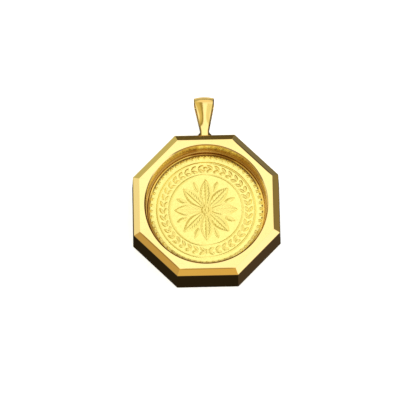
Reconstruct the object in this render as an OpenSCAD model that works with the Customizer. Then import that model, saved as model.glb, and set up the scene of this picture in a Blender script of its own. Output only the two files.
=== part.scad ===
// Coin pendant: an octagonal bezel frame with a soldered bail, a coin in a deep
// round recess, and a split ring that keeps the coin in from behind.
// It lies on its back. +Z is the way the coin faces and +Y points to the bail.
// The origin is on the resting plane, under the middle of the whole pendant.

/* [Frame] */
// Width across two opposite flats, at the lower edge of the front bevel
frame_w = 20; // [19.6:0.1:24]
// How far each wall flares out from there down to the back
wall_draft = 0.22; // [0:0.02:0.4]
// Thickness from the back to the front face
frame_t = 6.4; // [6:0.1:8]
// How far the front bevel runs in across the face
bevel_run = 0.85; // [0.3:0.05:1]
// How far the front bevel drops down the wall
bevel_drop = 0.65; // [0.3:0.05:1]
// Size of the small bevel round the back edge
back_bevel = 0.2; // [0.1:0.05:0.4]
// Depth from the front face to the rim of the coin
recess_depth = 3; // [2:0.1:3.4]
// Width of the step between the recess wall and the hole in the seat lip
lip_w = 0.2; // [0.1:0.01:0.3]
// Size of the bevel round the mouth of the recess
mouth_bevel = 0.15; // [0.1:0.05:0.3]
// Thickness of the seat lip in front of the coin
lip_t = 0.3; // [0.2:0.05:0.6]

/* [Coin] */
// Diameter of the coin
coin_d = 16.5; // [16.3:0.1:16.8]
// Thickness of the coin at its rim
coin_t = 1.2; // [1:0.05:1.6]
// Width of the raised rim
rim_w = 0.4; // [0.3:0.05:0.7]
// How far the field lies below the rim
field_drop = 0.2; // [0.1:0.01:0.25]
// Height of the ornament above the field
relief_h = 0.08; // [0.06:0.01:0.14]

/* [Ornament] */
// Number of beads in the ring inside the rim
bead_n = 56; // [48:1:84]
// Diameter of one bead at its base
bead_d = 0.38; // [0.2:0.01:0.4]
// Number of grain pairs in each half of the garland
garland_n = 19; // [12:1:21]
// Radius of the middle of the garland
garland_r = 5.9; // [5.6:0.1:6.1]
// Number of petals in the rosette
petal_n = 8; // [6:1:9]
// Radius of the circle that the petals' tips touch
rosette_r = 4.3; // [3.8:0.1:4.4]

/* [Bail] */
// Height of the bail above the frame's top flat
bail_h = 6; // [5:0.1:7]
// Widest part of the bail, seen from the front
bail_w = 2.8; // [2.2:0.1:3.4]
// Width of the bail just above the solder foot
bail_neck_w = 1.1; // [1:0.1:1.8]
// Depth of the bail's loop, from front to back
bail_depth = 3.2; // [2.8:0.1:4]
// Thickness of the metal at the top of the loop
bail_metal = 0.6; // [0.4:0.05:0.8]
// Radius of the crown, the curved top edge of the bail
crown_r = 5; // [3:0.1:8]
// Height of the middle of the bail above the back of the frame
bail_z = 4; // [2.6:0.1:4.2]

/* [Retaining ring] */
// Width of the ring, from its bore to its outer edge
ring_w = 1; // [0.7:0.05:1.4]
// Thickness of the ring
ring_t = 0.8; // [0.5:0.05:0.9]
// Depth of the ring's groove in the coin's bore
groove_depth = 0.3; // [0.2:0.05:0.4]
// Width of the split in the ring
ring_split = 1.2; // [0.6:0.1:3]

/* [Hidden] */
$fn = 120;

// Small gap between two pieces that meet
gap = 0.05;
// Overlap of two volumes that are joined, and overshoot of a cut
lap = 0.3;
side_angles = [0:45:315];

// Heights above the resting plane
coin_top = frame_t - recess_depth;
coin_bottom = coin_top - coin_t;
lip_bottom = coin_top + gap;
lip_top = lip_bottom + lip_t;
ring_top = coin_bottom - gap;
ring_bottom = ring_top - ring_t;

// Radii about the coin's axis
coin_r = coin_d / 2;
seat_r = coin_r + gap;
lip_r = coin_r - 0.12;
recess_r = lip_r + lip_w;
groove_r = seat_r + groove_depth;
ring_r = groove_r - gap;
rim_r = coin_r - rim_w;
rim_slope = 0.08;
bead_r = rim_r - rim_slope - gap - bead_d / 2;

// The bail's loop, measured from the axis of its passage
loop_r = bail_depth / 2;
passage_r = loop_r - bail_metal;
loop_y = frame_w / 2 + bail_h - loop_r;
loop_drop = bail_h - loop_r;
// Half the depth of its foot, and the height at which its two leaves meet
foot_half = 0.8;
foot_h = 0.9;
// Solder fillet round the foot: its reach sideways and to the front, and its height
flare = 0.9;
flare_z = 0.35;
flare_h = 0.9;

// Shift that puts the origin under the middle of the whole length
mid_y = (bail_h - wall_draft) / 2;

gold = "gold";
coin_gold = "khaki";

module at_origin() {
    translate([0, -mid_y, 0]) children();
}

// Regular octagon with two of its flats across Y
module octagon(w) {
    rotate(22.5) circle(r = w / 2 / cos(22.5), $fn = 8);
}

// Lens shape along X, where two equal arcs meet in two points
module lens(length, width) {
    arc_r = (length * length + width * width) / width / 4;
    intersection() {
        translate([0, arc_r - width / 2]) circle(arc_r);
        translate([0, width / 2 - arc_r]) circle(arc_r);
    }
}

// Prism that is swept across one side of the frame, to bevel its edge
module side_cut(points) {
    for (a = side_angles)
        rotate(a)
            rotate([90, 0, 0])
                linear_extrude(frame_w, center = true)
                    polygon(points);
}

// Octagonal block, cut along each side to its front bevel, its wall and its back bevel
module frame_block() {
    half = frame_w / 2;
    back_half = half + wall_draft;
    difference() {
        linear_extrude(frame_t) octagon(2 * back_half);
        side_cut([
            [half - bevel_run, frame_t],
            [half, frame_t - bevel_drop],
            [back_half, back_bevel],
            [back_half - back_bevel, 0],
            [back_half - back_bevel, -lap],
            [back_half + lap, -lap],
            [back_half + lap, frame_t + lap],
            [half - bevel_run, frame_t + lap]
        ]);
    }
}

// Recess and its bevelled mouth, lip hole, coin bore and ring groove, all on one axis
module seat_cut() {
    translate([0, 0, lip_top]) cylinder(h = recess_depth + lap, r = recess_r);
    translate([0, 0, frame_t - mouth_bevel])
        cylinder(h = mouth_bevel + lap, r1 = recess_r, r2 = recess_r + mouth_bevel + lap);
    translate([0, 0, -lap]) cylinder(h = frame_t + 2 * lap, r = lip_r);
    translate([0, 0, -lap]) cylinder(h = lip_bottom + lap, r = seat_r);
    translate([0, 0, ring_bottom - gap])
        cylinder(h = ring_t + 2 * gap, r = groove_r);
}

// Point where a line from [x, -y] below a circle of radius r touches it
function touch_point(r, x, y) =
    let (d = sqrt(x * x + y * y), a = atan2(-y, x) + acos(r / d))
    [r * cos(a), r * sin(a)];

// Side view of the bail: a loop that narrows to the foot
module loop_outline() {
    t = touch_point(loop_r, foot_half, loop_drop);
    circle(loop_r);
    polygon([
        [t.x, t.y],
        [foot_half, -loop_drop],
        [foot_half, -loop_drop - lap],
        [-foot_half, -loop_drop - lap],
        [-foot_half, -loop_drop],
        [-t.x, t.y]
    ]);
    polygon([
        [foot_half + flare_z, -loop_drop],
        [foot_half + flare_z, -loop_drop - lap],
        [-foot_half - flare_z, -loop_drop - lap],
        [-foot_half - flare_z, -loop_drop],
        [-foot_half, flare_h - loop_drop],
        [foot_half, flare_h - loop_drop]
    ]);
}

// Side view of the passage, a drop whose point is where the two leaves meet
module passage_outline() {
    tip = loop_drop - foot_h;
    t = touch_point(passage_r, 0, tip);
    circle(passage_r);
    polygon([[t.x, t.y], [0, -tip], [-t.x, t.y]]);
}

// Front view of the bail: flared foot, straight taper and curved crown
module front_outline() {
    neck = bail_neck_w / 2;
    shoulder_y = bail_h - 0.9;
    intersection() {
        polygon([
            [neck + flare, -lap],
            [neck + flare, 0],
            [neck, flare_h],
            [bail_w / 2, shoulder_y],
            [bail_w / 2, bail_h],
            [-bail_w / 2, bail_h],
            [-bail_w / 2, shoulder_y],
            [-neck, flare_h],
            [-neck - flare, 0],
            [-neck - flare, -lap]
        ]);
        union() {
            translate([0, bail_h - crown_r]) circle(crown_r);
            translate([-bail_w, -lap]) square([2 * bail_w, shoulder_y]);
        }
    }
}

module bail() {
    intersection() {
        translate([0, loop_y, bail_z])
            rotate([0, -90, 0])
                linear_extrude(2 * bail_w, center = true)
                    difference() {
                        loop_outline();
                        passage_outline();
                    }
        translate([0, frame_w / 2, bail_z])
            linear_extrude(2 * bail_depth, center = true)
                front_outline();
    }
}

module frame() {
    color(gold) at_origin() {
        difference() {
            frame_block();
            seat_cut();
        }
        bail();
    }
}

// Turned blank of the coin: rims on both faces and bevelled outer edges
module coin_blank() {
    edge = 0.06;
    half = coin_t / 2;
    field = half - field_drop;
    rotate_extrude()
        polygon([
            [0, -field],
            [rim_r - rim_slope, -field],
            [rim_r, -half],
            [coin_r - edge, -half],
            [coin_r, edge - half],
            [coin_r, half - edge],
            [coin_r - edge, half],
            [rim_r, half],
            [rim_r - rim_slope, field],
            [0, field]
        ]);
}

module bead_ring() {
    for (i = [0:bead_n - 1])
        rotate(i * 360 / bead_n)
            translate([bead_r, 0, 0])
                cylinder(h = relief_h, d1 = bead_d, d2 = bead_d / 2, $fn = 16);
}

// One half of the garland: pairs of grains that point up its right-hand side
module half_garland() {
    span = 168;
    step = span / (garland_n - 1);
    for (i = [0:garland_n - 1])
        for (side = [-1, 1])
            rotate(i * step - span / 2)
                translate([garland_r + side * 0.27, 0, 0])
                    rotate(90 - side * 26)
                        linear_extrude(relief_h)
                            lens(0.82, 0.34);
}

// Two halves that rise from a knot at the foot to a bead at the top
module garland() {
    half_garland();
    mirror([1, 0, 0]) half_garland();
    for (y = [-garland_r, garland_r])
        translate([0, y, 0])
            cylinder(h = relief_h, r1 = 0.26, r2 = 0.16, $fn = 24);
}

module thin_ring(r) {
    linear_extrude(relief_h / 2)
        difference() {
            circle(r + 0.06);
            circle(r - 0.06);
        }
}

// Broad petals with a raised middle, pointed leaves between them, and a boss
module rosette() {
    petal_l = rosette_r - 0.5;
    for (i = [0:petal_n - 1]) {
        rotate(i * 360 / petal_n)
            translate([rosette_r - petal_l / 2, 0, 0]) {
                linear_extrude(relief_h * 0.6) lens(petal_l, 1.6);
                linear_extrude(relief_h) lens(petal_l * 0.7, 0.7);
            }
        rotate((i + 0.5) * 360 / petal_n)
            translate([rosette_r - 0.75, 0, 0])
                linear_extrude(relief_h * 0.8) lens(1.4, 0.5);
    }
    cylinder(h = relief_h, r1 = 0.8, r2 = 0.62, $fn = 48);
}

module coin() {
    field = coin_t / 2 - field_drop;
    color(coin_gold) at_origin()
        translate([0, 0, coin_top - coin_t / 2]) {
            coin_blank();
            translate([0, 0, field]) {
                bead_ring();
                garland();
                thin_ring(garland_r + 0.85);
                thin_ring(garland_r - 0.85);
                rosette();
            }
        }
}

// Split ring in its groove, with the split at the foot of the pendant
module retaining_ring() {
    color(gold) at_origin()
        translate([0, 0, ring_bottom])
            difference() {
                cylinder(h = ring_t, r = ring_r);
                translate([0, 0, -lap])
                    cylinder(h = ring_t + 2 * lap, r = ring_r - ring_w);
                translate([-ring_split / 2, -ring_r - lap, -lap])
                    cube([ring_split, ring_w + 2 * lap, ring_t + 2 * lap]);
            }
}

frame();
coin();
retaining_ring();
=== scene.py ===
"""Looks of the coin pendant: a polished octagonal frame, its bail, the coin and the split ring."""
import math

import bpy
import numpy as np
from mathutils import Matrix, Vector


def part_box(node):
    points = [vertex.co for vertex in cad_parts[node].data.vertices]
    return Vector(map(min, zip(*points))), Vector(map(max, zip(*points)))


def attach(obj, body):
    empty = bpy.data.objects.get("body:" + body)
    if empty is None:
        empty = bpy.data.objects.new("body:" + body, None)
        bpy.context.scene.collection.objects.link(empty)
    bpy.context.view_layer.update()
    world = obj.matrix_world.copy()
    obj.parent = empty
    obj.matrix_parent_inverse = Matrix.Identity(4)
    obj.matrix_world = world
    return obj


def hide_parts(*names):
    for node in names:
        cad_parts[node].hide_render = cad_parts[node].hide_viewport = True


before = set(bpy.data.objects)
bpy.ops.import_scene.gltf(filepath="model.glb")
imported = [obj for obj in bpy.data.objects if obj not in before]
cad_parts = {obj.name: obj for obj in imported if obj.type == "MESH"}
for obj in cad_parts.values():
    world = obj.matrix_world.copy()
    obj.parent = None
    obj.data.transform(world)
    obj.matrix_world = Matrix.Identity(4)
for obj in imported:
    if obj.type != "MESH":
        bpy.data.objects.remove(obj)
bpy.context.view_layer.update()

MM = 0.001
IMAGE_PX = 400


def node_box(node):
    """Lowest and highest corner of a CAD node, in millimetres."""
    low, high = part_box(node)
    return np.array(low) / MM, np.array(high) / MM


frame_low, frame_high = node_box("frame")
coin_low, coin_high = node_box("coin")
ring_low, ring_high = node_box("retaining_ring")

# Frame, in millimetres as all sizes here are
wall_draft = 0.22                            # the walls flare out from the bevel down to the back
back_half = frame_high[0]                    # half the width across flats at the back
half_w = back_half - wall_draft              # and at the lower edge of the front bevel
axis_y = frame_low[1] + back_half            # axis of the frame and the coin
flat_y = axis_y + half_w                     # the top flat, which carries the bail
front_z = frame_high[2]
bevel_run, bevel_drop = 0.85, 0.65
back_bevel = 0.2
mouth_bevel = 0.15
gap = 0.05                                   # between two pieces
coin_r = coin_high[0]
coin_front, coin_back = coin_high[2], coin_low[2]
lip_hold = 0.12                              # how far the seat lip reaches over the coin
lip_t, lip_w = 0.3, 0.2
lip_bottom = coin_front + gap
lip_top = lip_bottom + lip_t
lip_r = coin_r - lip_hold
recess_r = lip_r + lip_w
mouth_r = recess_r + mouth_bevel
seat_r = coin_r + gap
ring_r = ring_high[0]
ring_front, ring_back = ring_high[2], ring_low[2]
ring_w, ring_split = 1.0, 1.2
groove_r = ring_r + gap

# Roundings of the frame's edges and of the ring
corner_round = 0.12                          # upright edges
bevel_round = 0.12                           # lower edge of the front bevel
edge_round = 0.05                            # crest of the bevel, edges of the back, lower edge of the lip
mouth_round, mouth_crest = 0.05, 0.04        # lower and upper edge of the recess's bevel
lip_round = 0.14                             # inner front edge of the seat lip
foot_round = 0.03                            # foot of the recess wall, and where the bore starts
groove_round = 0.02                          # corners of the seat and the groove
bore_round = 0.08                            # back edge of the bore
ring_round = 0.12

# Bail: heights are above the top flat, depths are from its middle plane
bail_h = frame_high[1] - flat_y
bail_z = 4.0
bail_half, bail_neck = 1.4, 0.55             # half its width at the shoulders and at the neck
flare_h = 0.9                                # where the taper starts
bail_shoulder = bail_h - 0.9                 # and where it ends
loop_r, passage_r = 1.6, 1.0                 # outside and inside of the loop
loop_y = bail_h - loop_r
foot_half = 0.8                              # half its depth at the foot
foot_tip = 0.9                               # where the two leaves meet
foot_sink = 0.25                             # how far the foot reaches into the frame
leaf_seam = 0.01                             # half the seam between the leaves below foot_tip
leaf_rows, loop_rows, dome_cols = 26, 22, 20
catch_up = 0.35                              # radians in which the inside's stations join the outside's
crown_drop = 0.20                            # the crown's fall from its middle to its ends
leaf_dome, least_dome = 0.17, 0.003          # how far the front is domed, and the foot
dome_foot, dome_rise = 1.2, 2.0              # where the dome starts, and over what height it rises
bail_edge, back_share = 0.12, 0.6            # rounding of its long edges, and the inner ones' share of it
most_edge = 0.4                              # the rounding's most, as a share of the strip's side thickness
bail_shade_w = 1.1 * bail_edge                  # width of the painted shade along them
bail_shade_z = bail_z + 0.3                     # it lies in front of this, on the front leaf alone
bail_shade_right, bail_shade_left = 0.9, 0.5       # strength of that painted shade on the right and the left

# Solder at the bail's foot
skirt_h = 1.2
skirt_reach, skirt_front = 1.15, 0.15        # how far it spreads on both sides, and in front and behind
skirt_inset, skirt_sink = 0.02, 0.2          # how deep it ends inside the bail and the frame
skirt_rows = 10
skirt_curve, skirt_front_curve = 2.2, 3      # how steeply it falls off at the sides and in front
skirt_round, skirt_rounder = 0.3, 0.65       # rounding of its outline, and what the foot has more
solder_tone = 0.2                            # share of the solder's painted shade at the back, which rises to 1 in front
solder_from, solder_rise = bail_z - 0.45, 0.7     # where the rise starts, and over what depth

# Coin
rim_w, rim_slope = 0.4, 0.1
solid_slope = 0.08                           # the rim's slope in the solid, by which the beads lie
rim_crown = 0.12                             # fall of the rim from its crest to the ends of its arch
crest_at, crest_half = 0.4, 0.62             # its crest and half its arch, in widths of the rim
rim_r = coin_r - rim_w
coin_t = coin_front - coin_back
rim_margin = 0.01                            # less than one step of the face's grid
edge_front, edge_back = 0.24, 0.12           # from the front and the back to the upright, reeded edge
corner_w = 0.10                              # corner between the edge and the back,
corner_in, corner_low = 0.05, 0.03           # and the point on its rounding
face_half = 140                              # squares of the face's grid from its middle to its edge
plain_r = 6.95                               # between the garland and the beads
crest_in = 0.08                              # the grid is closest on this outermost part of the rim
rim_blend = 0.05                             # how far the rim's tone fades out inside it
field_drop = 0.2
field_z = coin_front - field_drop
relief_h = 0.08                              # height of the beads and the ornament above the field
bead_n, bead_d = 56, 0.38
bead_r = rim_r - solid_slope - gap - bead_d / 2
pit_r, pit_size, pit_flat = rim_r - 0.12, 0.195, 0.045    # pits between the beads and the rim
pit_depth = 0.06
shade_w, shade_from = 0.75, 0.8              # shade between the beads, in widths and radii of a bead
shade_reach, shade_flat = 1.6, 0.6
line_r, line_half, line_flat = rim_r - 0.04, 0.12, 0.04   # line of painted shade inside the rim
foot_in, foot_run = 0.25, 0.1                # where painted shade starts inside the beads' circle, and its soft start
cover_in, cover_run = 0.12, 0.08             # the same for the painted shade that covers them
field_line_r, field_line_half = rim_r - rim_slope - 0.01, 0.07   # line of painted shade at the foot of the rim
reed_n, reed_depth = 140, 0.02               # fine teeth of the edge
back_closing_r, back_closing = coin_r - 1.0, 0.62   # first of the rings that close the back, and their ratio
back_rings = 5

# Ornament: grains, leaves and petals are lenses of a length and a width
garland_n, garland_r = 19, 5.9               # pairs of grains in each half, and their middle circle
garland_span = 168.0                         # degrees from the first pair to the last
garland_edge = 0.85                          # from its middle to the thin circles
circle_half, circle_flat = 0.1125, 0.0375    # half a thin circle's width at its foot and on top
circle_side, circle_side_half = 0.12, 0.075  # the groove beside it
grain_l, grain_w = 0.86, 0.36
grain_off, grain_lean = 0.27, 26             # distance from the middle circle, and lean in degrees
grain_crease, crease_depth = 0.035, 0.35
grain_grow_l, grain_grow_w = 0.16, 0.14      # how much larger the groove round it is
grain_steep = 3                              # how steeply this groove begins
grain_reach = 0.55, 0.35                     # a grain and its groove lie within this of its middle
knot_r, knot_groove, knot_groove_half = 0.27, 1.15, 0.25  # the groove in radii of the knot
petal_n, rosette_r = 8, 4.3
petal_l, petal_w = rosette_r - 0.5, 1.62
petal_grow_l, petal_grow_w = 0.18, 0.22      # how much larger the outline round it is
petal_slope = 0.28                           # its edge, as a share of the way to its middle line
petal_clean = 0.05                           # the same for the outermost part, which has no dark lines
cup_share, cup_depth = 0.55, 0.45            # its hollow face
cup_from, cup_run = 0.25, 0.5
rib_half, rib_growth = 0.10, 0.03            # half the rib's width at mid-petal, and its gain per mm outward
beside_rib, beside_half = 0.15, 0.05         # dark lines on both sides of it
vein_pitch, vein_lean, vein_share = 0.26, 0.55, 0.10
leaf_l, leaf_w, leaf_share = 1.5, 0.56, 0.8  # its height is a share of relief_h
leaf_r, leaf_crease = rosette_r - 0.75, 0.05
boss_r, boss_slope, boss_floor = 0.8, 0.18, 0.62
boss_inner, boss_groove, boss_groove_half = 0.92, 1.03, 0.07   # in radii of the boss
dot_n, dot_ring_r, dot_r, middle_r = 10, 0.46, 0.12, 0.2

# Painted shade in the ornament's grooves, from 0 for none to 1. A crease's is for a depth of 1.
pit_tone, bead_tone, foot_tone, cover_tone = 0.5, 0.12, 0.4, 0.75
circle_tone, crease_tone, grain_tone, knot_tone = 0.35, 1.2, 0.8, 0.7
leaf_tone, vein_tone, rib_tone, petal_tone = 0.7, 0.35, 0.6, 0.85
boss_tone, boss_edge_tone, field_tone = 0.6, 0.8, 0.5

# Soft patches round the axis, in degrees from the right towards the bail: each one is its centre,
# half width, strength, and the width of its soft border.
# Painted shade: the recess wall is darker at some angles, and dark lines lie along the bevels, the mouth and
# the lip
WALL_PAINTED_SHADE = ((41, 12, 0.8, 9), (68, 14, 0.05, 10), (105.5, 6.5, 1.0, 1.5), (115, 8, 0.62, 12),
                (196, 20, 0.7, 10))
WALL_LOW_PAINTED_SHADE = WALL_PAINTED_SHADE + ((140, 24, 0.25, 14),)
EDGE_PAINTED_SHADE = {
    "bevel": ((0, 18, 0.3, 6), (45, 18, 1.0, 6), (90, 18, 0.3, 6), (225, 18, 0.55, 6), (270, 18, 0.5, 6)),
    "mouth": ((72, 45, 0.8, 12), (245, 73, 1.0, 10), (340, 30, 0.6, 12)),
    "mouth_low": ((250, 75, 1.0, 12),),
    "lip": ((88, 72, 0.5, 10), (200, 25, 0.5, 10)),
}
# On the coin painted shade lies on the rim, in the line and the pits inside it, between the beads at the
# foot, and over these beads
RIM_PAINTED_SHADE = ((82, 18, 0.85, 12), (45, 14, 0.4, 8), (121, 18, 0.3, 8), (196, 26, 0.8, 12))
LINE_PAINTED_SHADE = ((92, 62, 1.0, 10),)
PIT_PAINTED_SHADE = ((70, 75, 1.0, 20), (180, 180, 0.22, 1))
FOOT_PAINTED_SHADE = ((265, 66, 0.8, 12),)
COVER_PAINTED_SHADE = ((262, 28, 1.0, 16),)
shade_fade = 0.09                             # how far a line of painted shade fades out beside its edge


# Helpers for shapes
def smooth(x):
    """0 below 0, 1 above 1, and an even rise between."""
    x = np.clip(x, 0, 1)
    return x * x * (3 - 2 * x)


def rise(x, start, run):
    """0 up to `start`, and 1 from `run` beyond it."""
    return smooth((x - start) / run)


def band(x, centre, reach, flat=0.0):
    """1 at `centre` and up to `flat` beside it, and 0 from `reach` beside it."""
    return smooth((reach - np.abs(x - centre)) / (reach - flat))


def ball(distance):
    """Height of a half ball of radius 1."""
    return np.sqrt(np.clip(1 - distance ** 2, 0, 1))


def turn_of(x, y):
    """Angle round the axis, in degrees from the right towards the bail."""
    return np.degrees(np.arctan2(y, x))


def patches(turn, spots):
    """Strength of soft patches, as listed above, at an angle round the axis."""
    out = np.zeros_like(turn)
    for centre, half, strength, border in spots:
        away = np.abs((turn - centre + 180) % 360 - 180)
        out = np.maximum(out, strength * band(away, 0, half + border, half))
    return out


def area_normals(co, faces):
    """Vertex normals weighted by face area, so that flat faces stay flat beside rounded edges."""
    quad = faces[:, 3] >= 0
    # d stands for some other vertex where the face is a triangle, and isn't used there
    a, b, c, d = (co[faces[:, k]] for k in range(4))
    normal = np.cross(b - a, c - a)
    normal[quad] += np.cross(c - a, d - a)[quad]
    out = np.zeros_like(co)
    for k in range(3):
        np.add.at(out, faces[:, k], normal)
    np.add.at(out, faces[quad, 3], normal[quad])
    length = np.linalg.norm(out, axis=1)
    length[length == 0] = 1
    return out / length[:, None]


def make_piece(name, co, faces, material, node):
    """One piece of the pendant: a smooth mesh in the shared frame. Faces are rows of four
    vertex numbers, with -1 in the last place for a triangle."""
    co = np.asarray(co, float)
    mesh = bpy.data.meshes.new(name)
    rows = [tuple(int(i) for i in f if i >= 0) for f in faces]
    mesh.from_pydata((co * MM).tolist(), [], rows)
    mesh.polygons.foreach_set("use_smooth", [True] * len(mesh.polygons))
    mesh.materials.append(material)
    mesh.update()
    mesh.normals_split_custom_set_from_vertices(area_normals(co, faces).tolist())
    piece = bpy.data.objects.new(name, mesh)
    bpy.context.scene.collection.objects.link(piece)
    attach(piece, "root")
    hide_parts(node)
    return piece


def add_attribute(piece, name, values):
    """A number for each vertex, which the materials read by name."""
    layer = piece.data.attributes.new(name, "FLOAT", "POINT")
    layer.data.foreach_set("value", np.asarray(values, np.float32))


def round_corners(points, radius, steps=3):
    """Closed 2-D outline with every corner rounded, and the corner that each of its points is from.
    radius is one size, or one for each corner. A rounding takes less than half of each side."""
    points = np.asarray(points, float)
    count = len(points)
    radii = np.broadcast_to(radius, (count,))
    side_share, least_r = 0.45, 1e-4
    out, owner = [], []
    for i in range(count):
        p, before, after = points[i], points[i - 1], points[(i + 1) % count]
        u, v = before - p, after - p
        lu, lv = np.linalg.norm(u), np.linalg.norm(v)
        u, v = u / lu, v / lv
        half = math.acos(max(-1.0, min(1.0, float(u @ v)))) / 2
        reach = min(radii[i] / math.tan(half), side_share * lu, side_share * lv)
        r = reach * math.tan(half)
        if r < least_r:
            out.append(p)
            owner.append(i)
            continue
        centre = p + (u + v) / np.linalg.norm(u + v) * r / math.sin(half)
        start, end = p + u * reach - centre, p + v * reach - centre
        turn = math.atan2(start[0] * end[1] - start[1] * end[0], start @ end)
        for a in np.linspace(0, turn, steps + 1):
            c, s = math.cos(a), math.sin(a)
            out.append(centre + np.array([c * start[0] - s * start[1], s * start[0] + c * start[1]]))
            owner.append(i)
    return np.array(out), owner


def grid_faces(rows, cols, close_rows=False, close_cols=False):
    """Quads between the points of a grid that is stored row by row."""
    r = np.arange(rows if close_rows else rows - 1)
    c = np.arange(cols if close_cols else cols - 1)
    rr, cc = np.meshgrid(r, c, indexing="ij")
    r2, c2 = (rr + 1) % rows, (cc + 1) % cols
    return np.stack([rr * cols + cc, rr * cols + c2, r2 * cols + c2, r2 * cols + cc], -1).reshape(-1, 4)


def capped_tube(rings, turned=False):
    """Points and faces of a tube through rings of equally many points, closed by a fan at each end.
    turned is for rings that run counterclockwise as one looks along the tube from its first ring."""
    cols = len(rings[0])
    points = np.array(rings, float).reshape(-1, 3)
    faces = grid_faces(len(rings), cols, close_cols=True)
    if turned:
        faces = faces[:, ::-1]
    for row, forward in ((0, turned), (len(rings) - 1, not turned)):
        ring = row * cols + np.arange(cols)
        after = np.roll(ring, -1)
        pair = (ring, after) if forward else (after, ring)
        fan = np.stack([np.full(cols, len(points)), *pair, np.full(cols, -1)], -1)
        points = np.vstack([points, points[ring].mean(0)])
        faces = np.vstack([faces, fan])
    return points, faces


# Frame
SIDES = 8
SIDE_TURN = 2 * math.pi / SIDES
FLAT_STEPS, CORNER_STEPS = 20, 4


def octagon_stations():
    """Stations round the frame: side angle, place on the flat from -1 to 1 or None, angle in the corner."""
    out = []
    edge = math.atan((half_w - corner_round) * math.tan(SIDE_TURN / 2) / half_w)
    for k in range(SIDES):
        side = SIDE_TURN * k
        for a in np.linspace(-edge, edge, FLAT_STEPS + 1):
            out.append((side, math.tan(a) / math.tan(edge), None))
        for i in range(1, CORNER_STEPS):
            out.append((side, None, SIDE_TURN * i / CORNER_STEPS))
    return out


def octagon_point(station, inner):
    """Point of an octagon of inner radius `inner` at a station. The corner keeps the same rounding,
    so that all the loops have the same stations."""
    side, along, turn = station
    if turn is None:
        along = along * (inner - corner_round) * math.tan(SIDE_TURN / 2)
        c, s = math.cos(side), math.sin(side)
        return c * inner - s * along, s * inner + c * along
    reach = (inner - corner_round) / math.cos(SIDE_TURN / 2)
    middle, a = side + SIDE_TURN / 2, side + turn
    return (reach * math.cos(middle) + corner_round * math.cos(a),
            reach * math.sin(middle) + corner_round * math.sin(a))


def circle_point(station, radius):
    """Point of a circle that lies in the same direction as a station of the octagon."""
    x, y = octagon_point(station, half_w)
    length = math.hypot(x, y)
    return x * radius / length, y * radius / length


def frame_section():
    """Corners of the frame's closed section: distance from the axis, height, octagonal or round,
    radius of the edge, and the edge's name. Points beside an edge end the painted shade that lies along it."""
    crest = half_w - bevel_run
    slant = math.hypot(bevel_run, bevel_drop)
    run, drop = shade_fade * bevel_run / slant, shade_fade * bevel_drop / slant
    mouth_z = front_z - mouth_bevel
    groove_top, groove_low = ring_front + gap, ring_back - gap
    return [
        (back_half - back_bevel, 0, "octagon", edge_round, ""),
        (back_half, back_bevel, "octagon", edge_round, ""),
        (half_w, front_z - bevel_drop, "octagon", bevel_round, ""),
        (crest + 2 * run, front_z - 2 * drop, "octagon", 0, ""),
        (crest + run, front_z - drop, "octagon", 0, "bevel"),
        (crest, front_z, "octagon", edge_round, "bevel"),
        (crest - shade_fade, front_z, "octagon", 0, ""),
        (mouth_r + mouth_round, front_z, "circle", 0, ""),
        (mouth_r, front_z, "circle", mouth_crest, "mouth"),
        (recess_r, mouth_z, "circle", mouth_round, "mouth_low"),
        (recess_r, mouth_z - 2 * shade_fade, "circle", 0, "wall"),
        (recess_r, lip_top + shade_fade, "circle", 0, "wall"),
        (recess_r, lip_top, "circle", foot_round, "lip"),
        (lip_r, lip_top, "circle", lip_round, "lip"),
        (lip_r, lip_bottom, "circle", edge_round, "lip"),
        (seat_r, lip_bottom, "circle", groove_round, ""),
        (seat_r, groove_top, "circle", groove_round, ""),
        (groove_r, groove_top, "circle", groove_round, ""),
        (groove_r, groove_low, "circle", groove_round, ""),
        (seat_r, groove_low, "circle", foot_round, ""),
        (seat_r, 0, "circle", bore_round, ""),
    ]


def build_frame_body(material):
    """The section drawn round the octagon, with its painted shade as numbers on the vertices."""
    corners = frame_section()
    outline, owner = round_corners([c[:2] for c in corners], [c[3] for c in corners])
    stations = octagon_stations()
    co = []
    for (d, z), i in zip(outline, owner):
        point = octagon_point if corners[i][2] == "octagon" else circle_point
        for station in stations:
            x, y = point(station, d)
            co.append((x, y + axis_y, z))
    faces = grid_faces(len(outline), len(stations), close_rows=True, close_cols=True)
    piece = make_piece("frame_body", co, faces, material, "frame")

    co = np.array(co)
    turn = turn_of(co[:, 0], co[:, 1] - axis_y).reshape(len(outline), -1)
    recess, lip, painted_shade = np.zeros_like(turn), np.zeros_like(turn), np.zeros_like(turn)
    # painted shade on the recess wall, darker at some angles round the axis
    wall_shade = patches(turn, WALL_PAINTED_SHADE)
    wall_starts = front_z - mouth_bevel - 0.2 * mouth_round
    for row, (i, (_, z)) in enumerate(zip(owner, outline)):
        name = corners[i][4]
        recess[row] = name in ("wall", "lip") or (name == "mouth_low" and z < wall_starts)
        lip[row] = name == "lip"
        # painted shade along the bevel, the mouth and the lip, by angle round the axis
        painted_shade[row] = patches(turn[row], EDGE_PAINTED_SHADE.get(name, ()))
        if name == "wall" and z < lip_top + 2 * shade_fade:
            wall_shade[row] = patches(turn[row], WALL_LOW_PAINTED_SHADE)
    for name, values in (("recess", recess), ("lip", lip), ("wall_shade", wall_shade), ("painted_shade", painted_shade)):
        add_attribute(piece, name, values.ravel())


# Bail
def bail_half_width(y):
    """Half the bail's width at a height: a straight neck, a taper, and the straight shoulders."""
    return bail_neck + (bail_half - bail_neck) * np.clip((y - flare_h) / (bail_shoulder - flare_h), 0, 1)


def loop_point(radius, a):
    """Height and depth of a point of the loop, at an angle from its front."""
    return loop_y + radius * math.sin(a), radius * math.cos(a)


def leaf_touch(radius, y, z):
    """Angle at which a straight leaf from (y, z) touches a circle round the loop's axis, and the point."""
    y = y - loop_y
    a = math.atan2(y, z) + math.acos(radius / math.hypot(y, z))
    return a, loop_point(radius, a)


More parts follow.
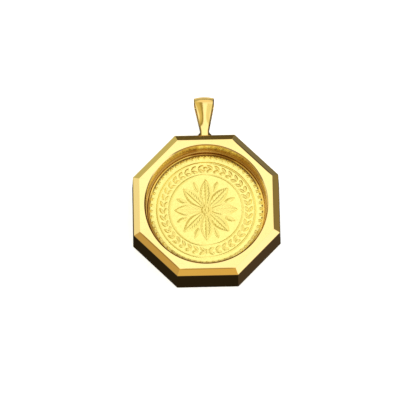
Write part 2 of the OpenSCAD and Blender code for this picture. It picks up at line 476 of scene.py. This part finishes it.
def bail_path():
    """Stations of the bail's strip from the front foot over the loop to the back foot:
    outer point, inner point, and the crown's share of the strip's dome."""
    a_out, (top_y, top_z) = leaf_touch(loop_r, 0.0, foot_half)
    a_in, (inner_y, inner_z) = leaf_touch(passage_r, foot_tip, 0.0)
    front = []
    for y in np.linspace(-foot_sink, top_y, leaf_rows):
        z = foot_half + (top_z - foot_half) * y / top_y
        inner = max(leaf_seam, inner_z * (y - foot_tip) / (inner_y - foot_tip))
        front.append(((y, z), (y, inner), 0.0))
    for a in np.linspace(a_out, math.pi / 2, loop_rows)[1:]:
        caught_up = min(1.0, (a - a_out) / catch_up)
        crown = math.sin(max(0.0, a)) ** 2
        front.append((loop_point(loop_r, a), loop_point(passage_r, a_in + (a - a_in) * caught_up), crown))
    back = [((yo, -zo), (yi, -zi), crown) for (yo, zo), (yi, zi), crown in reversed(front[:-1])]
    return front + back


def build_bail(material):
    """A domed strip with rounded edges, folded over the passage, with painted shade along its front edges.
    """
    rings = []
    for (yo, zo), (yi, zi), crown in bail_path():
        half = bail_half_width(yo)
        thick = math.hypot(yo - yi, zo - zi)
        dome = leaf_dome * rise(yo, dome_foot, dome_rise) + least_dome
        dome = dome + (crown_drop - dome) * crown
        edge = min(bail_edge, (thick - dome) * most_edge)
        # the dome's own points keep clear of the rounding at its ends
        reach = 1 - 1.5 * edge / half
        front = [(half * u, -dome * u * u) for u in np.linspace(-reach, reach, dome_cols)]
        outline = [(-half, -dome)] + front + [(half, -dome), (half, -thick), (-half, -thick)]
        radii = [edge] + [0.0] * dome_cols + [edge, edge * back_share, edge * back_share]
        rounded, _ = round_corners(outline, radii)
        rings.append([(x, flat_y + yo - (yi - yo) * depth / thick, bail_z + zo - (zi - zo) * depth / thick)
                      for x, depth in rounded])
    points, faces = capped_tube(rings)
    piece = make_piece("bail", points, faces, material, "frame")

    half = bail_half_width(points[:, 1] - flat_y)
    # painted shade along the front leaf's long edges, darker on the right
    in_front = points[:, 2] > bail_shade_z
    painted_shade = np.zeros(len(points))
    painted_shade[in_front & (points[:, 0] > half - bail_shade_w)] = bail_shade_right
    painted_shade[in_front & (points[:, 0] < bail_shade_w - half)] = bail_shade_left
    add_attribute(piece, "painted_shade", painted_shade)


def build_skirt(material):
    """Solder that has run up the bail's foot, with painted shade that is darker towards the front."""
    loops = []
    for t in np.linspace(0, 1, skirt_rows):
        y = skirt_h * t
        half_x = bail_half_width(y) - skirt_inset + skirt_reach * (1 - t) ** skirt_curve
        half_z = foot_half - skirt_inset + skirt_front * (1 - t) ** skirt_front_curve
        radius = min(half_x, half_z) * (skirt_round + skirt_rounder * (1 - t) ** 2)
        corners = [(-half_x, -half_z), (half_x, -half_z), (half_x, half_z), (-half_x, half_z)]
        outline, _ = round_corners(corners, radius, steps=6)
        loops.append([(x, flat_y + y, bail_z + z) for x, z in outline])
    sunk = [(x, y - skirt_sink, z) for x, y, z in loops[0]]
    points, faces = capped_tube([sunk] + loops, turned=True)
    piece = make_piece("solder_skirt", points, faces, material, "frame")
    # painted shade on the solder, darker towards the front
    to_front = rise(points[:, 2], solder_from, solder_rise)
    add_attribute(piece, "solder", solder_tone + (1 - solder_tone) * to_front)


def build_ring(material):
    """Split ring behind the coin, with its split at the foot."""
    inner_r = ring_r - ring_w
    section = [(inner_r, ring_back), (ring_r, ring_back), (ring_r, ring_front), (inner_r, ring_front)]
    outline, _ = round_corners(section, ring_round)
    half_split = math.asin(ring_split / 2 / (ring_r - ring_w / 2))
    angles = np.linspace(half_split, 2 * math.pi - half_split, 181) - math.pi / 2
    rings = [[(r * math.cos(a), axis_y + r * math.sin(a), z) for r, z in outline] for a in angles]
    points, faces = capped_tube(rings, turned=True)
    make_piece("split_ring", points, faces, material, "retaining_ring")


# Coin
class Face:
    """The coin's face at each of its places: height of the ornament above the field, painted shade of its
    grooves, and painted shade in its pits."""

    def __init__(self, x, y):
        self.x, self.y = x, y
        self.r, self.turn = np.hypot(x, y), turn_of(x, y)
        self.height, self.groove, self.pits = np.zeros_like(x), np.zeros_like(x), np.zeros_like(x)

    def raise_to(self, height, where=slice(None)):
        self.height[where] = np.maximum(self.height[where], height)

    def darken(self, tone, where=slice(None)):
        self.groove[where] = np.maximum(self.groove[where], tone)

    def from_nearest(self, count, circle_r, shift=0.0):
        """Distance to the nearest of `count` places that are spread evenly over a ring, of which the
        first is `shift` steps from the right."""
        steps = self.turn * count / 360 - shift
        return np.hypot((steps - np.round(steps)) * 2 * math.pi / count * circle_r, self.r - circle_r)

    def local(self, circle_r, place, turn):
        """Places along and across a motif whose middle is on a ring, at an angle in degrees."""
        at, a = math.radians(place), math.radians(turn)
        dx, dy = self.x - circle_r * math.cos(at), self.y - circle_r * math.sin(at)
        return dx * math.cos(a) + dy * math.sin(a), -dx * math.sin(a) + dy * math.cos(a)


def lens_share(u, v, length, width):
    """0 outside a lens shape along u, and rising to 1 on its middle line."""
    tiny = 1e-6
    half = width / 2 * np.clip(1 - (2 * u / length) ** 2, 0, 1)
    return np.where(half > tiny, np.clip(1 - np.abs(v) / np.maximum(half, tiny), 0, 1), 0)


def add_beads(face):
    """Beads inside the rim, the pits between them and the rim, and the painted shade that lies there."""
    away = face.from_nearest(bead_n, bead_r) / (bead_d / 2)
    bead = ball(away)
    face.raise_to(relief_h * bead)
    pit = band(face.from_nearest(bead_n, pit_r, 0.5), 0, pit_size, pit_flat)
    face.height -= pit_depth * pit
    line = band(face.r, line_r, line_half, line_flat)
    # painted shade in the pits and along a line inside the rim
    face.pits = np.maximum(pit * patches(face.turn, PIT_PAINTED_SHADE), line * patches(face.turn, LINE_PAINTED_SHADE))
    face.darken(pit_tone * face.pits)
    beside = (np.abs(face.r - bead_r) < bead_d * shade_w) & (away > shade_from)
    face.darken(np.where(beside, bead_tone * band(away, 0, shade_reach, shade_flat), 0))
    # painted shade between the beads at the foot
    foot = rise(face.r, bead_r - foot_in, foot_run) * (1 - bead) * patches(face.turn, FOOT_PAINTED_SHADE)
    face.darken(foot)
    face.pits = np.maximum(face.pits, foot_tone * foot)
    # below the lower edge of the mouth, where painted shade lies on the beads as well
    cover = rise(face.r, bead_r - cover_in, cover_run) * patches(face.turn, COVER_PAINTED_SHADE)
    face.pits = np.maximum(face.pits, cover_tone * cover)


def add_circles(face):
    """Thin circles on both sides of the garland, half as high as the rest."""
    for circle_r in (garland_r + garland_edge, garland_r - garland_edge):
        away = np.abs(face.r - circle_r)
        face.raise_to(relief_h / 2 * band(away, 0, circle_half, circle_flat))
        face.darken(circle_tone * band(away, circle_side, circle_side_half))


def add_grain(face, circle_r, place, turn):
    """One grain with a crease along it, and painted shade in the crease and round the grain."""
    u, v = face.local(circle_r, place, turn)
    near = (np.abs(u) < grain_reach[0]) & (np.abs(v) < grain_reach[1])
    u, v = u[near], v[near]
    share = lens_share(u, v, grain_l, grain_w)
    crease = crease_depth * np.exp(-(v / grain_crease) ** 2) * (share > 0)
    face.raise_to(relief_h * ball(1 - share) * (1 - crease), near)
    face.darken(crease_tone * crease, near)
    grown = lens_share(u, v, grain_l + grain_grow_l, grain_w + grain_grow_w)
    groove = np.where(share <= 0, grain_steep * grain_tone * grown, 0)
    face.darken(groove.clip(0, grain_tone), near)


def add_garland(face):
    """Two halves of paired grains, between a knot at the foot and one at the top."""
    pitch = garland_span / (garland_n - 1)
    for i in range(garland_n):
        place = i * pitch - garland_span / 2
        for side in (-1, 1):
            circle_r, turn = garland_r + side * grain_off, place + 90 - side * grain_lean
            add_grain(face, circle_r, place, turn)
            add_grain(face, circle_r, 180 - place, 180 - turn)
    for sign in (-1, 1):
        away = np.hypot(face.x, face.y - sign * garland_r) / knot_r
        face.raise_to(relief_h * ball(away))
        face.darken(knot_tone * band(away, knot_groove, knot_groove_half))


def add_leaves(face):
    """Pointed leaves behind the petals."""
    for i in range(petal_n):
        place = (i + 0.5) * 360 / petal_n
        u, v = face.local(leaf_r, place, place)
        share = lens_share(u, v, leaf_l, leaf_w)
        face.raise_to(relief_h * leaf_share * ball(1 - share))
        face.darken(np.where(share > 0, leaf_tone * np.exp(-(v / leaf_crease) ** 2), 0))


def add_petals(face):
    """Broad petals that are hollow beside a rib, with fine veins, and painted shade between the veins,
    beside the rib and as a dark outline.
    """
    for i in range(petal_n):
        place = i * 360 / petal_n
        u, v = face.local(rosette_r - petal_l / 2, place, place)
        share = lens_share(u, v, petal_l, petal_w)
        inside = share > 0
        body = rise(share, 0, petal_slope)
        cup = 1 - cup_depth * rise(share, cup_from, cup_run)
        rib = np.exp(-(v / (rib_half + rib_growth * u)) ** 2)
        vein = 0.5 + 0.5 * np.cos((np.abs(v) - vein_lean * u) * 2 * math.pi / vein_pitch)
        face_h = cup_share * cup + (1 - cup_share) * rib + vein_share * vein * (1 - rib)
        height = np.maximum(face.height * (1 - body), relief_h * body * face_h)
        face.height = np.where(inside, height, face.height)
        line = vein_tone * (1 - vein) * (1 - rib) * body
        side = rib_tone * np.exp(-((np.abs(v) - beside_rib) / beside_half) ** 2)
        face.groove = np.where(inside, np.maximum(line, side) * (share > petal_clean), face.groove)
        grown = lens_share(u, v, petal_l + petal_grow_l, petal_w + petal_grow_w)
        face.darken(np.where(~inside & (grown > 0), petal_tone, 0))


def add_boss(face):
    """Boss in the middle, with a ring of small dots round a larger one."""
    away = face.r / boss_r
    body = rise(1 - away, 0, boss_slope)
    dots = np.maximum(ball(face.from_nearest(dot_n, dot_ring_r) / dot_r), ball(face.r / middle_r))
    height = relief_h * body * (boss_floor + (1 - boss_floor) * dots)
    face.height = np.where(away < 1, np.maximum(height, face.height * (1 - body)), face.height)
    groove = boss_tone * body * (1 - dots) * (away < boss_inner)
    face.groove = np.where(away < 1, groove, face.groove)
    face.darken(boss_edge_tone * band(away, boss_groove, boss_groove_half))


def disc_grid(half, marks):
    """Places of a square grid that is bent into a disc. Each square of the grid becomes a circle,
    and marks gives the radius of some of them: (number of the square from the middle, radius)."""
    line = np.arange(-half, half + 1)
    a, b = np.meshgrid(line, line, indexing="ij")
    wide = np.abs(a) > np.abs(b)
    square = np.maximum(np.abs(a), np.abs(b))
    with np.errstate(divide="ignore", invalid="ignore"):
        turn = np.where(wide, math.pi / 4 * (b / a), math.pi / 2 - math.pi / 4 * (a / b))
    turn = np.where(square == 0, 0, turn)
    radius = np.interp(square, *zip(*marks)) * np.where(wide, np.sign(a), np.sign(b))
    return (radius * np.cos(turn)).ravel(), (radius * np.sin(turn)).ravel()


def strike(x, y):
    """The coin's face with its whole ornament, and the height of its surface."""
    face = Face(x, y)
    for add in (add_beads, add_circles, add_garland, add_leaves, add_petals, add_boss):
        add(face)
    face.groove = np.clip(face.groove, 0, 1)
    wall = rise(face.r, rim_r - rim_slope, rim_slope)
    z = field_z + face.height * (1 - wall) + field_drop * wall
    crest = (face.r - rim_r - crest_at * rim_w) / (crest_half * rim_w)
    on_rim = face.r > rim_r - rim_margin
    z = z - rim_crown * crest ** 2 * on_rim
    face.groove = np.where(on_rim, 0, face.groove)
    face.darken(field_tone * band(face.r, field_line_r, field_line_half))
    return face, z


def coin_back_part(co, border):
    """Points and faces that follow the outermost points of the face: the edge, and the plain back."""
    count = len(border)
    bx, by = co[border, 0] / coin_r, (co[border, 1] - axis_y) / coin_r
    reed = reed_depth * (0.5 - 0.5 * np.cos(np.arctan2(by, bx) * reed_n))
    # each ring's distance in from the edge, depth below the front, and share of the reeding
    steps = [(0.0, edge_front, 1), (0.0, coin_t - edge_back, 1),
             (corner_in, coin_t - corner_low, 0), (corner_w, coin_t, 0),
             (rim_w, coin_t, 0), (rim_w + rim_slope, coin_t - field_drop, 0)]
    faces = []
    last = border
    for inward, depth, reeded in steps:
        r = coin_r - inward - reeded * reed
        ring = len(co) + np.arange(count)
        co = np.vstack([co, np.stack([bx * r, by * r + axis_y, np.full(count, coin_front - depth)], -1)])
        faces.append(np.stack([ring, np.roll(ring, -1), np.roll(last, -1), last], -1))
        last = ring
    # the plain field of the back closes in rings of half as many points each
    back_z = coin_back + field_drop
    for k in range(back_rings):
        keep, between, after = last[::2], last[1::2], np.roll(last[::2], -1)
        px, py = co[keep, 0], co[keep, 1] - axis_y
        scale = back_closing_r * back_closing ** k / np.hypot(px, py)
        ring = len(co) + np.arange(len(keep))
        co = np.vstack([co, np.stack([px * scale, py * scale + axis_y, np.full(len(keep), back_z)], -1)])
        faces.append(np.stack([between, keep, ring, np.full(len(keep), -1)], -1))
        faces.append(np.stack([ring, np.roll(ring, -1), after, between], -1))
        last = ring
    count = len(last)
    faces.append(np.stack([np.roll(last, -1), last, np.full(count, len(co)), np.full(count, -1)], -1))
    return np.vstack([co, [0.0, axis_y, back_z]]), faces


def build_coin(material):
    """The struck face on a fine round grid, and the plain edge and back on coarser rings."""
    n = 2 * face_half + 1
    x, y = disc_grid(face_half, [(0, 0.0), (107, plain_r), (124, rim_r - rim_slope), (127, rim_r),
                                 (137, coin_r - crest_in), (face_half, coin_r)])
    face, z = strike(x, y)
    border = np.concatenate([np.arange(n) * n, (n - 1) * n + np.arange(1, n),
                             np.arange(n - 2, -1, -1) * n + n - 1, np.arange(n - 2, 0, -1)])
    co, back = coin_back_part(np.stack([x, y + axis_y, z], -1), border)
    piece = make_piece("struck_coin", co, np.vstack([grid_faces(n, n)[:, ::-1]] + back),
                       material, "coin")
    rest = len(co) - len(x)
    rim = rise(face.r, rim_r - rim_blend, rim_blend)
    # name, its values on the face, and its value on the edge and the back
    # the layers of grooves, pits and rim patches hold painted shade
    layers = [("relief", face.height / relief_h, 0), ("groove", face.groove, 0), ("pit", face.pits, 0),
              ("rim", rim, 1), ("rim_shade", rim * patches(face.turn, RIM_PAINTED_SHADE), 0)]
    for name, values, beyond in layers:
        add_attribute(piece, name, np.concatenate([values, np.full(rest, float(beyond))]))


# Materials
GOLD = (1.0, 0.71, 0.25)
GOLD_DEEP = (0.93, 0.58, 0.16)
EDGE_TINT = (1.0, 0.96, 0.84, 1.0)
# Lit and shaded colours of the recess wall, as painted light and shade
RECESS_LIT = (1.0, 0.88, 0.46)
RECESS_SHADED = (0.60, 0.39, 0.12)
# Painted shade on the seat lip
LIP_SHADED = (0.80, 0.46, 0.12)
# Painted shade along the edges of the frame and the bail
EDGE_SHADE = (0.22, 0.10, 0.008)
# Painted shade on the solder
SOLDER_SHADED = (0.055, 0.030, 0.010)
COIN = (1.0, 0.79, 0.225)
COIN_WARM = (1.0, 0.74, 0.19)
COIN_RAISED = (1.0, 0.71, 0.17)
# Painted shade in the coin's grooves, and the bag marks' darker tone
COIN_SHADE_AND_MARKS = (0.80, 0.42, 0.07)
RIM = (1.0, 0.66, 0.14)
# Painted shade on the coin's rim
RIM_SHADED = (0.30, 0.11, 0.012)
# Painted shade in the coin's pits and beside them
PIT_SHADED = (0.16, 0.06, 0.006)


class Nodes:
    """Short calls for a material's or the world's nodes."""

    def __init__(self, tree):
        self.tree = tree

    def add(self, kind, inputs=None, **settings):
        node = self.tree.nodes.new(kind)
        for key, value in settings.items():
            setattr(node, key, value)
        for key, value in (inputs or {}).items():
            self.feed(node.inputs[key], value)
        return node

    def feed(self, socket, value):
        if isinstance(value, bpy.types.NodeSocket):
            self.tree.links.new(value, socket)
        else:
            socket.default_value = value

    def math(self, operation, a, b, clamp=False):
        return self.add("ShaderNodeMath", {0: a, 1: b}, operation=operation, use_clamp=clamp).outputs[0]

    def times(self, a, b):
        return self.math("MULTIPLY", a, b)

    def total(self, first, *others):
        for other in others:
            first = self.math("ADD", first, other)
        return first

    def span(self, value, low, high, to_low=0.0, to_high=1.0, kind="SMOOTHSTEP"):
        return self.add("ShaderNodeMapRange", {0: value, 1: low, 2: high, 3: to_low, 4: to_high},
                        interpolation_type=kind).outputs[0]

    def mix(self, share, a, b):
        node = self.add("ShaderNodeMix", data_type="RGBA")
        self.feed(node.inputs[0], share)
        for socket, colour in ((node.inputs[6], a), (node.inputs[7], b)):
            self.feed(socket, colour + (1.0,) if isinstance(colour, tuple) else colour)
        return node.outputs[2]

    def noise(self, vector, scale, detail, roughness=0.5):
        return self.add("ShaderNodeTexNoise", {"Vector": vector, "Scale": scale, "Detail": detail,
                                               "Roughness": roughness}).outputs["Fac"]

    def stretched(self, vector, rotation, scale):
        return self.add("ShaderNodeMapping", {"Vector": vector, "Rotation": rotation,
                                              "Scale": scale}).outputs[0]

    def between(self, value, low, low_full, high_full, high):
        return self.times(self.span(value, low, low_full), self.span(value, high, high_full))

    def attribute(self, name):
        return self.add("ShaderNodeAttribute", attribute_name=name).outputs["Fac"]


def new_material(name):
    """A metal, its nodes, the sockets of its shader, and the places on it."""
    material = bpy.data.materials.new(name)
    material.use_nodes = True
    material.node_tree.nodes.clear()
    nodes = Nodes(material.node_tree)
    shader = nodes.add("ShaderNodeBsdfPrincipled", {"Metallic": 1.0})
    nodes.add("ShaderNodeOutputMaterial", {"Surface": shader.outputs[0]})
    return material, nodes, shader.inputs, nodes.add("ShaderNodeTexCoord").outputs["Object"]


def polished_gold():
    """Mirror polish with faint buffing marks, small scratches and handling haze."""
    material, nodes, shader, place = new_material("polished_gold")
    shader["Specular Tint"].default_value = EDGE_TINT
    haze = nodes.noise(place, scale=260.0, detail=4.0, roughness=0.6)
    cloud = nodes.noise(place, scale=90.0, detail=2.0)
    strokes = nodes.stretched(place, rotation=(0.0, 0.0, 0.6), scale=(1.0, 14.0, 3.0))
    buff = nodes.noise(strokes, scale=1500.0, detail=3.0, roughness=0.6)
    lines = nodes.stretched(place, rotation=(0.3, 0.2, -0.9), scale=(1.0, 40.0, 6.0))
    scratch = nodes.span(nodes.noise(lines, scale=420.0, detail=2.0, roughness=0.4), 0.66, 0.74)
    recess = nodes.attribute("recess")
    # painted shade on the solder, darker towards the front
    solder = nodes.times(nodes.attribute("solder"), nodes.span(haze, 0.25, 0.6, 0.7, 1.0))
    colour = nodes.mix(nodes.span(cloud, 0.35, 0.75, 0.0, 0.35), GOLD, GOLD_DEEP)
    # painted light and shade on the recess wall, by angle round the axis
    colour = nodes.mix(recess, colour, nodes.mix(nodes.attribute("wall_shade"), RECESS_LIT, RECESS_SHADED))
    # painted shade on the seat lip
    colour = nodes.mix(nodes.attribute("lip"), colour, LIP_SHADED)
    # painted shade along the frame's and the bail's edges
    colour = nodes.mix(nodes.attribute("painted_shade"), colour, EDGE_SHADE)
    nodes.feed(shader["Base Color"], nodes.mix(solder, colour, SOLDER_SHADED))
    rough = nodes.total(nodes.span(haze, 0.3, 0.8, 0.05, 0.13), nodes.times(recess, 0.11),
                        nodes.times(solder, 0.22), nodes.times(scratch, 0.10))
    nodes.feed(shader["Roughness"], rough)
    height = nodes.total(nodes.times(buff, 0.35), nodes.times(scratch, -0.6))
    bump = nodes.add("ShaderNodeBump", {"Height": height, "Strength": 0.05, "Distance": 0.00002})
    swell = nodes.add("ShaderNodeBump", {"Height": nodes.noise(place, scale=330.0, detail=1.0),
                                         "Strength": 0.10, "Distance": 0.00008,
                                         "Normal": bump.outputs[0]})
    nodes.feed(shader["Normal"], swell.outputs[0])
    return material


def coin_gold():
    """Struck gold: frosted relief, brighter field, painted deep orange shade in the grooves, painted shade
    on the rim and in the pits, and small bag marks.
    """
    material, nodes, shader, place = new_material("coin_gold")
    relief, rim = nodes.attribute("relief"), nodes.attribute("rim")
    grain = nodes.noise(place, scale=5200.0, detail=3.0, roughness=0.65)
    cloud = nodes.noise(place, scale=240.0, detail=3.0, roughness=0.55)
    marks = nodes.span(nodes.noise(place, scale=1900.0, detail=2.0), 0.62, 0.72)
    # painted shade in the grooves, with the bag marks' own darker tone
    tone = nodes.math("MULTIPLY", nodes.attribute("groove"), 0.40, clamp=True)
    tone = nodes.math("MAXIMUM", tone, nodes.times(marks, 0.12))
    colour = nodes.mix(nodes.span(cloud, 0.35, 0.75, 0.0, 0.3), COIN, COIN_WARM)
    colour = nodes.mix(nodes.times(relief, 0.12), colour, COIN_RAISED)
    colour = nodes.mix(rim, colour, RIM)
    # painted shade on the rim, by angle round the axis
    colour = nodes.mix(nodes.attribute("rim_shade"), colour, RIM_SHADED)
    colour = nodes.mix(tone, colour, COIN_SHADE_AND_MARKS)
    # painted shade in the pits, along the rim and round the beads at the foot
    nodes.feed(shader["Base Color"], nodes.mix(nodes.times(nodes.attribute("pit"), 0.9), colour, PIT_SHADED))
    rough = nodes.total(nodes.span(grain, 0.3, 0.7, 0.15, 0.24), nodes.times(relief, 0.06),
                        nodes.times(rim, -0.04))
    nodes.feed(shader["Roughness"], rough)
    height = nodes.total(nodes.times(grain, 0.5), nodes.times(marks, -0.5))
    bump = nodes.add("ShaderNodeBump", {"Height": height, "Strength": 0.12, "Distance": 0.00002})
    nodes.feed(shader["Normal"], bump.outputs[0])
    return material


# Camera, at the photo's viewing angle
view_azimuth, view_tilt, view_roll = math.radians(0.2), math.radians(15.8), math.radians(1.25)
camera_distance = 450.0
px_per_mm = 7.30
aim_right, aim_up = -0.86, 0.50              # from the middle of the frame's front face


def build_camera():
    """Camera that looks at the face from the foot's side."""
    ca, sa = math.cos(view_azimuth), math.sin(view_azimuth)
    ct, st = math.cos(view_tilt), math.sin(view_tilt)
    across = Vector((ca, 0.0, sa))
    along = Vector((-st * sa, ct, st * ca))
    toward = Vector((-ct * sa, -st, ct * ca))
    right = across * math.cos(view_roll) - along * math.sin(view_roll)
    up = across * math.sin(view_roll) + along * math.cos(view_roll)
    aim = Vector((0.0, axis_y, front_z)) + right * aim_right + up * aim_up
    data = bpy.data.cameras.new("camera")
    data.sensor_width = 36.0
    data.lens = px_per_mm * camera_distance * data.sensor_width / IMAGE_PX
    data.clip_start, data.clip_end = 0.05, 10.0
    camera = bpy.data.objects.new("camera", data)
    bpy.context.scene.collection.objects.link(camera)
    turn = Matrix((right, up, toward)).transposed().to_4x4()
    camera.matrix_world = Matrix.Translation((aim + toward * camera_distance) * MM) @ turn
    bpy.context.scene.camera = camera


# Light of the studio by height, from straight below to straight above
SKY = (
    (-1.0, (0.018, 0.015, 0.010)), (-0.80, (0.026, 0.020, 0.014)), (-0.55, (0.22, 0.19, 0.15)),
    (-0.15, (0.34, 0.31, 0.27)), (0.05, (0.30, 0.28, 0.24)), (0.35, (0.62, 0.60, 0.56)),
    (0.70, (1.10, 1.20, 1.30)), (0.90, (1.22, 1.38, 1.56)), (1.0, (1.25, 1.42, 1.60)),
)
SCREEN_EDGE, SCREEN, FAINT_SCREEN = (0.40, 0.36, 0.15), (0.74, 0.70, 0.40), (0.92, 1.0, 0.85)
# Where the two screens start, are full, stop being full and end from left to right, and the same
# for their start by height
SCREEN_ACROSS, SCREEN_UP = (-0.50, -0.38, -0.085, -0.055), (0.25, 0.40)
FAINT_ACROSS, FAINT_UP = (0.14, 0.22, 0.42, 0.56), (0.70, 0.85)
SCREEN_FADE = (-0.14, -0.30)                 # from the tone of the inner edge to the tone of the rest
BACKDROP = (0.96, 0.96, 0.95)
# Round cards: direction, radius of the full tone and of the soft edge in degrees, and tone
CARDS = (
    ((0.0, 0.76, -0.65), 26, 34, (0.80, 0.82, 0.74)),       # behind the bail, for its crown
    ((0.0, 0.93, 0.36), 16, 24, (1.00, 0.98, 0.85)),        # above that, for the loop's front
    ((0.02, 1.0, -0.03), 4, 7, (0.115, 0.10, 0.055)),       # top bevel
    ((0.70, 0.71, 0.05), 14, 34, (0.20, 0.21, 0.23)),       # top right bevel
    ((-0.53, 0.84, 0.10), 14, 28, (0.56, 0.60, 0.43)),      # top left bevel
    ((0.96, 0.22, 0.18), 16, 26, (0.25, 0.23, 0.16)),       # right bevel
    ((-0.93, 0.25, 0.28), 16, 26, (0.90, 0.96, 0.98)),      # left bevel
    ((-0.73, -0.50, 0.46), 14, 24, (0.54, 0.42, 0.22)),     # bottom left bevel
    ((0.04, -0.88, 0.46), 20, 32, (0.70, 0.55, 0.26)),      # bottom bevel
    ((0.78, -0.47, 0.41), 14, 24, (1.25, 1.38, 1.70)),      # bottom right bevel
    ((0.27, 0.04, -0.96), 10, 24, (0.065, 0.05, 0.04)),     # lower right wall
)


def build_world():
    """Soft studio light with screens and cards, which the polished faces mirror."""
    world = bpy.data.worlds.new("studio")
    world.use_nodes = True
    world.node_tree.nodes.clear()
    nodes = Nodes(world.node_tree)
    way = nodes.add("ShaderNodeTexCoord").outputs["Generated"]
    x, _, z = nodes.add("ShaderNodeSeparateXYZ", {0: way}).outputs
    colour = SKY[0][1]
    for (low, _), (high, tone) in zip(SKY[:-1], SKY[1:]):
        colour = nodes.mix(nodes.span(z, low, high, kind="LINEAR"), colour, tone)
    # a long screen on the left of the top light, darkest along its inner edge, and a faint one on the right
    screen = nodes.mix(nodes.span(x, *SCREEN_FADE), SCREEN_EDGE, SCREEN)
    share = nodes.between(x, *SCREEN_ACROSS)
    colour = nodes.mix(nodes.times(share, nodes.span(z, *SCREEN_UP)), colour, screen)
    share = nodes.between(x, *FAINT_ACROSS)
    colour = nodes.mix(nodes.times(share, nodes.span(z, *FAINT_UP)), colour, FAINT_SCREEN)
    for direction, inner, outer, tone in CARDS:
        middle = Vector(direction).normalized()
        near = nodes.add("ShaderNodeVectorMath", {0: way, 1: middle}, operation="DOT_PRODUCT")
        edge, full = math.cos(math.radians(outer)), math.cos(math.radians(inner))
        colour = nodes.mix(nodes.span(near.outputs["Value"], edge, full), colour, tone)
    seen_plain = nodes.add("ShaderNodeLightPath").outputs["Is Camera Ray"]
    colour = nodes.mix(seen_plain, colour, BACKDROP)
    background = nodes.add("ShaderNodeBackground", {"Color": colour, "Strength": 1.0})
    nodes.add("ShaderNodeOutputWorld", {"Surface": background.outputs[0]})
    bpy.context.scene.world = world


def build_floor():
    """Plain pale floor, just below the back rim. Sizes in metres."""
    half, drop = 1.5, 0.00001
    mesh = bpy.data.meshes.new("floor")
    corners = [(-half, -half, 0), (half, -half, 0), (half, half, 0), (-half, half, 0)]
    mesh.from_pydata(corners, [], [(0, 1, 2, 3)])
    floor = bpy.data.objects.new("floor", mesh)
    floor.location.z = -drop
    bpy.context.scene.collection.objects.link(floor)
    material = bpy.data.materials.new("floor")
    material.use_nodes = True
    shader = material.node_tree.nodes["Principled BSDF"].inputs
    shader["Base Color"].default_value = (0.9, 0.9, 0.9, 1)
    shader["Roughness"].default_value = 0.9
    shader["Specular IOR Level"].default_value = 0.1
    shader["Emission Color"].default_value = (1, 1, 1, 1)
    shader["Emission Strength"].default_value = 0.55
    mesh.materials.append(material)
    floor.visible_glossy = False


gold = polished_gold()
build_frame_body(gold)
build_bail(gold)
build_skirt(gold)
build_ring(gold)
build_coin(coin_gold())
build_camera()
build_world()
build_floor()
view = bpy.context.scene.view_settings
view.view_transform = "Standard"
view.look = "None"
view.exposure, view.gamma = 0.0, 1.0
